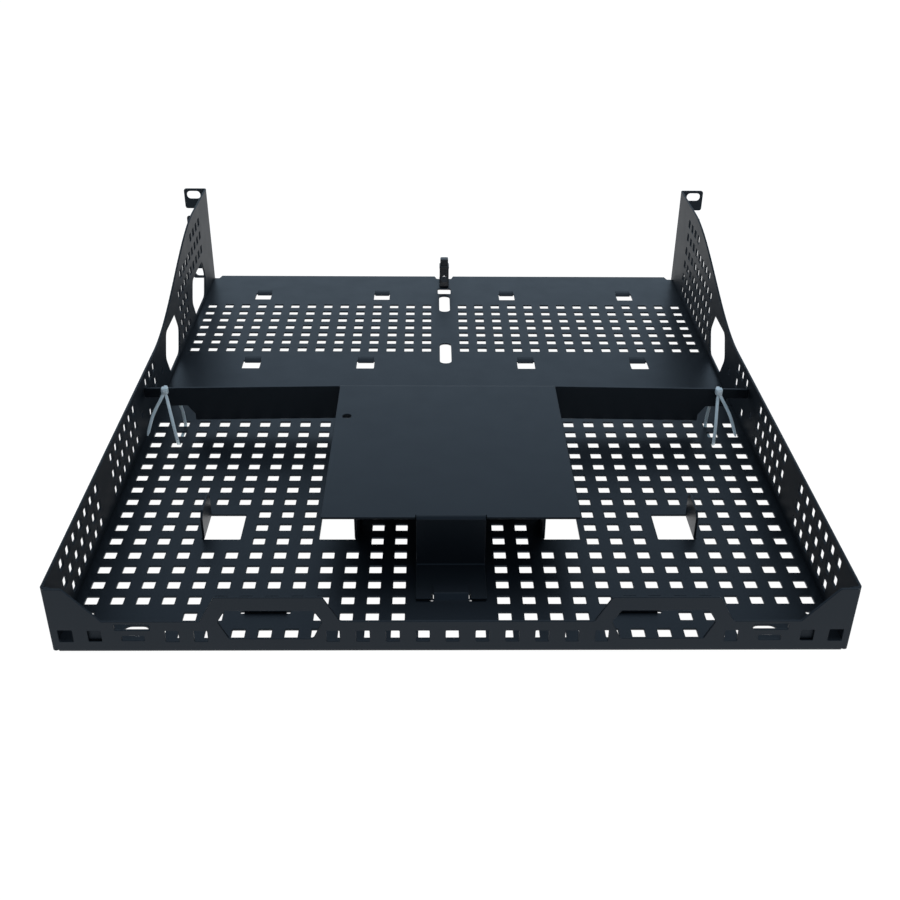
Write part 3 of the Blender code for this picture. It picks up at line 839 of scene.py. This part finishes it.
def cut_eye(piece, centre, axis):
    """Joins the clip's islands and bores its eye."""
    for operation in ("UNION", "DIFFERENCE"):
        modifier = piece.modifiers.new(operation.lower(), "BOOLEAN")
        modifier.solver = "EXACT"
        modifier.operation = operation
        if operation == "UNION":
            modifier.use_self = True
            tool = turned(centre, axis, ((0.4, -0.2), (0.4, 0.2)), 8)
        else:
            tool = turned(centre, axis, ((1.4, -12.0), (1.4, 12.0)), 24)
        mesh = bpy.data.meshes.new("tool")
        tool.to_mesh(mesh)
        tool.free()
        mesh.transform(TO_FRAME)
        cutter = bpy.data.objects.new("tool", mesh)
        bpy.context.scene.collection.objects.link(cutter)
        modifier.object = cutter
        baked = bpy.data.meshes.new_from_object(piece.evaluated_get(bpy.context.evaluated_depsgraph_get()))
        piece.modifiers.clear()
        bpy.data.objects.remove(cutter, do_unlink=True)
        piece.data = baked
    piece.data.shade_smooth()
    piece.data.set_sharp_from_angle(angle=math.radians(38))


# The cable ties.


def smooth_path(points, per_piece):
    """Catmull-Rom points through given ones."""
    path = []
    places = [Vector(p) for p in points]
    for i in range(len(places) - 1):
        before = places[max(i - 1, 0)]
        start, end = places[i], places[i + 1]
        after = places[min(i + 2, len(places) - 1)]
        for k in range(per_piece):
            t = k / per_piece
            blend = start * 2 + (end - before) * t
            blend += (before * 2 - start * 5 + end * 4 - after) * t * t
            blend += (start * 3 - before - end * 3 + after) * t ** 3
            path.append(blend / 2)
    path.append(places[-1])
    return path


def even_path(points, spacing):
    """The same smooth path with points at an even spacing."""
    fine = smooth_path(points, 24)
    even = [fine[0]]
    travelled = 0.0
    for a, b in zip(fine, fine[1:]):
        length = (b - a).length
        while travelled + length >= spacing * len(even):
            share = (spacing * len(even) - travelled) / length
            even.append(a.lerp(b, share))
        travelled += length
    return even


def strap(points, toothed_side):
    """A flat strap with rounded edges, teeth on one face and a tapered end."""
    path = even_path(points, STRAP_STEP)
    path = [Vector((place.x, place.y, max(place.z, UNDER_STRAP))) for place in path]
    across = Vector((1, 0, 0))
    half_w, half_t = STRAP_WIDTH / 2, STRAP_THICK / 2
    section = rounded(rectangle(-half_w, half_w, -half_t, half_t), 0.35, 3)
    shape = bmesh.new()
    rings = []
    last = len(path) - 1
    for i, place in enumerate(path):
        along = (path[min(i + 1, last)] - path[max(i - 1, 0)]).normalized()
        side = (across - along * across.dot(along)).normalized()
        normal = along.cross(side)
        taper = min(1.0, 0.35 + 0.65 * (last - i) * STRAP_STEP / 3.0)
        between_teeth = i % 3 == 0 and 6 < i < last - 10
        ring = []
        for u, v in section:
            if between_teeth and v * toothed_side > 0 and abs(u) < half_w - TOOTH_MARGIN:
                v -= toothed_side * TOOTH_DEPTH
            ring.append(shape.verts.new(place + side * u * taper + normal * v))
        rings.append(ring)
    count = len(section)
    for first, second in zip(rings, rings[1:]):
        for k in range(count):
            n = (k + 1) % count
            shape.faces.new((first[k], first[n], second[n], second[k]))
    shape.faces.new(rings[0][::-1])
    shape.faces.new(rings[-1])
    bmesh.ops.recalc_face_normals(shape, faces=shape.faces)
    return shape


def cable_tie(name, node, side, head, foot):
    """Head in front of the bar, a loop round the bar and the floor, and a free tail.

    head and foot are the distances of the head and of the floor's two holes from the middle.
    """
    head_x = side * head
    foot_x = side * foot
    lean = head_x - foot_x
    head_y = BAR_FRONT - 2.3
    front, back = TIE_FRONT_HOLE, TIE_BACK_HOLE
    loop = [
        (head_x, head_y, 32.5),
        (foot_x + lean * 0.85, head_y - 2.0, 27.0),
        (foot_x + lean * 0.33, front + 6.6, 13.0),
        (foot_x + lean * 0.04, front + 2.0, 1.5),
        (foot_x, front + 3.0, UNDER_STRAP + 0.3),
        (foot_x, front + 7.0, UNDER_STRAP),
        (foot_x, back - 7.0, UNDER_STRAP),
        (foot_x, back - 2.6, UNDER_STRAP + 0.3),
        (foot_x, back - 0.4, 1.2),
        (foot_x + lean * 0.10, back - 1.8, 14.0),
        (foot_x + lean * 0.45, BAR_BACK + 1.8, 25.0),
        (head_x, BAR_BACK + 1.0, 31.5),
        (head_x, BAR_BACK + 0.9, 33.6),
        (head_x, BAR_BACK + 0.1, 34.95),
        (head_x, BAR_FRONT - 0.1, 35.0),
        (head_x, head_y + 1.0, 34.5),
    ]
    tail = [
        (head_x + side * 0.6, head_y - 0.3, 32.0),
        (head_x + side * 2.4, head_y - 1.6, 28.5),
        (head_x + side * 9.1, head_y - 6.5, 16.5),
        (head_x + side * 13.4, head_y - 13.5, 3.0),
    ]
    shape = soft_box(head_x - 2.4, head_x + 2.4, head_y - 2.0, head_y + 2.0, 31.0, 35.9, 0.7, 3)
    lug = soft_box(head_x - 1.7, head_x + 1.7, head_y - 2.4, head_y - 1.0, 32.0, 35.0, 0.4, 2)
    for part in (lug, strap(loop[::-1], 1), strap(tail, 1)):
        add_island(shape, part, Matrix.Identity(4))
    finish_mesh(shape, name, Matrix.Identity(4), NYLON, node, 50)


# The stage.


def studio_floor():
    """A plain white light table: it stays pale under the tray too."""
    mesh = bpy.data.meshes.new("studio_floor")
    shape = bmesh.new()
    bmesh.ops.create_grid(shape, x_segments=1, y_segments=1, size=6.0)
    shape.to_mesh(mesh)
    shape.free()
    material = bpy.data.materials.new("studio_floor")
    material.use_nodes = True
    shader = material.node_tree.nodes["Principled BSDF"]
    shader.inputs["Base Color"].default_value = (0.10, 0.10, 0.10, 1)
    shader.inputs["Roughness"].default_value = 0.9
    shader.inputs["Specular IOR Level"].default_value = 0.0
    shader.inputs["Emission Color"].default_value = (1, 1, 1, 1)
    shader.inputs["Emission Strength"].default_value = 0.99
    mesh.materials.append(material)
    floor = bpy.data.objects.new("studio_floor", mesh)
    floor.location.z = -0.0004
    bpy.context.scene.collection.objects.link(floor)


def softbox(name, place, target, size, power, colour=(1.0, 1.0, 1.0)):
    """A rectangular lamp aimed at its target."""
    data = bpy.data.lights.new(name, "AREA")
    data.color = colour
    data.shape = "RECTANGLE"
    data.size, data.size_y = size
    data.energy = power
    lamp = bpy.data.objects.new(name, data)
    lamp.location = place
    lamp.rotation_euler = (Vector(target) - Vector(place)).to_track_quat("-Z", "Y").to_euler()
    bpy.context.scene.collection.objects.link(lamp)


SKY = (0.66, 0.83, 1.0)


def studio_light():
    """A pale blue room, a wide low lamp behind the ears and two small ones."""
    world = bpy.data.worlds.new("studio")
    bpy.context.scene.world = world
    world.use_nodes = True
    background = world.node_tree.nodes["Background"]
    background.inputs["Color"].default_value = (*SKY, 1)
    background.inputs["Strength"].default_value = 0.58
    softbox("top_softbox", (0.2, 0.6, 2.2), (0, 0, 0), (1.6, 1.6), 4)
    softbox("back_softbox", (0.0, 3.2, 1.15), (0, 0, 0.1), (5.0, 1.8), 16, SKY)
    softbox("right_softbox", (1.7, -1.1, 0.9), (0, 0, 0), (0.9, 0.9), 9)
    bpy.context.scene.view_settings.view_transform = "Standard"


def photo_camera():
    """Looks down on the lip from its side, with the tray turned by about a degree."""
    data = bpy.data.cameras.new("camera")
    data.sensor_width = 36.0
    data.lens = 45.412
    data.clip_start = 0.02
    data.clip_end = 50.0
    camera = bpy.data.objects.new("camera", data)
    camera.location = (-0.0118, -0.7576, FLOOR_Z + 0.4187)
    pitch, yaw, roll = math.radians(30.812), math.radians(1.090), math.radians(0.616)
    look = Euler((math.pi / 2 - pitch, 0, -yaw)).to_matrix() @ Matrix.Rotation(roll, 3, "Z")
    camera.rotation_euler = look.to_euler()
    bpy.context.scene.collection.objects.link(camera)
    bpy.context.scene.camera = camera


front_tray()
rear_deck()
side_panel("swept_side_panel_left", "side_panel_left", -1)
side_panel("swept_side_panel_right", "side_panel_right", 1)
device_platform()
retaining_clip()
cable_tie("nylon_tie_left", "cable_tie_left", -1, 204.6, 195.1)
cable_tie("nylon_tie_right", "cable_tie_right", 1, 197.5, 193.8)
studio_floor()
studio_light()
photo_camera()
